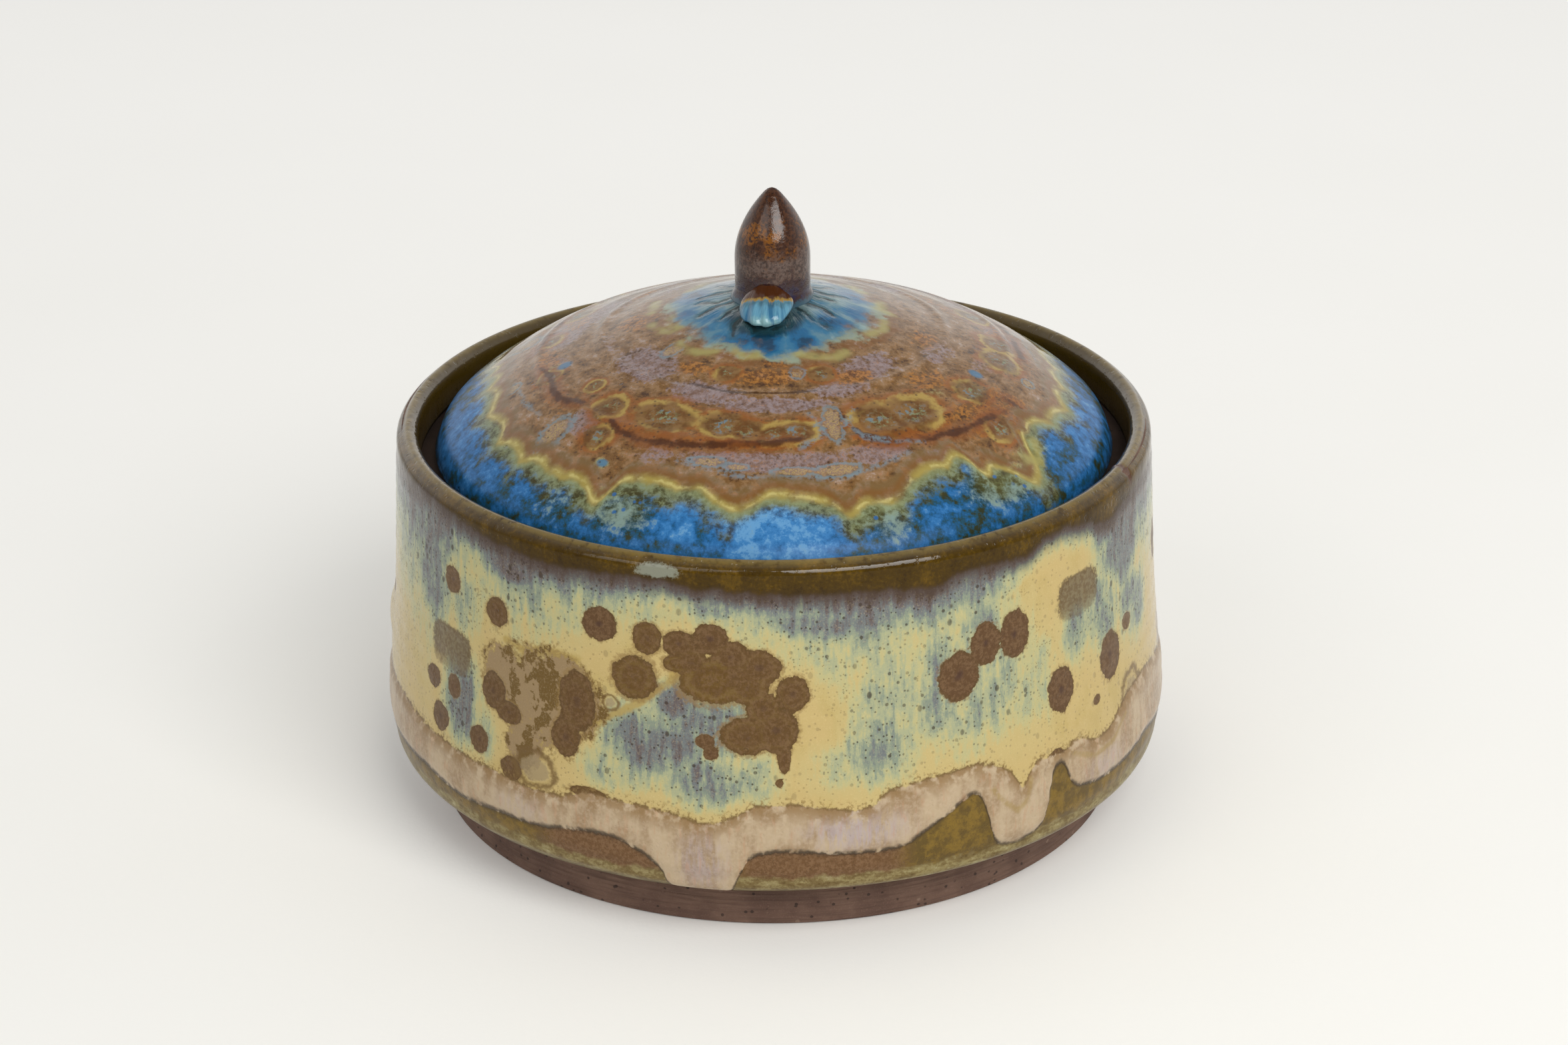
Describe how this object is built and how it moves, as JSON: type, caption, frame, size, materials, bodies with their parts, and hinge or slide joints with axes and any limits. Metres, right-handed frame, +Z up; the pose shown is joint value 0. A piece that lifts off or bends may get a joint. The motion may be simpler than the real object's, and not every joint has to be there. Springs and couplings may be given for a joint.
{
  "type": "lidded stoneware bowl",
  "caption": "Small round stoneware bowl with a domed drop-in lid, a pointed finial knob, a bare clay foot and run, spotted glazes.",
  "frame": {"origin": "centre of the circle that the foot rests on, at floor level", "axes": "+Z up the turning axis through the knob; -Y is the side with the glaze drop at the foot of the knob"},
  "size_m": [0.1266, 0.1266, 0.099],
  "materials": {
    "bare_clay": "matte dark purplish-brown stoneware with fine dark specks and turning lines",
    "bowl_glaze": "glossy cream-yellow glaze with pale blue streaks, brown spots, a pink-cream run band and an olive-brown rim",
    "liner_glaze": "glossy dark olive-brown glaze",
    "lid_glaze": "glossy rust-brown and purple-grey glaze with yellow-edged cells, cobalt-blue skirt and teal streaks at the knob",
    "knob_glaze": "glossy dark brown glaze with orange rust mottling",
    "drop_glaze": "thick glossy pale blue glaze"
  },
  "bodies": {
    "jar": {"jar_body": "bare_clay", "foot_ring": "bare_clay", "lid_gallery": "bare_clay", "outer_glaze": "bowl_glaze", "liner_glaze": "liner_glaze"},
    "lid_ring": {"lid_flange": "bare_clay"},
    "lid": {"lid_dome": "bare_clay", "lid_glaze": "lid_glaze", "knob": "bare_clay", "knob_glaze": "knob_glaze", "glaze_drop": "drop_glaze"}
  },
  "joints": [
    {"name": "lid_lift", "type": "slide", "parent": "jar", "child": "lid_ring", "axis": [0, 0, 1], "range_m": [0, 0.08]},
    {"name": "lid_turn", "type": "hinge", "parent": "lid_ring", "child": "lid", "pos_m": [0, 0, 0.056], "axis": [0, 0, 1], "continuous": true}
  ]
}
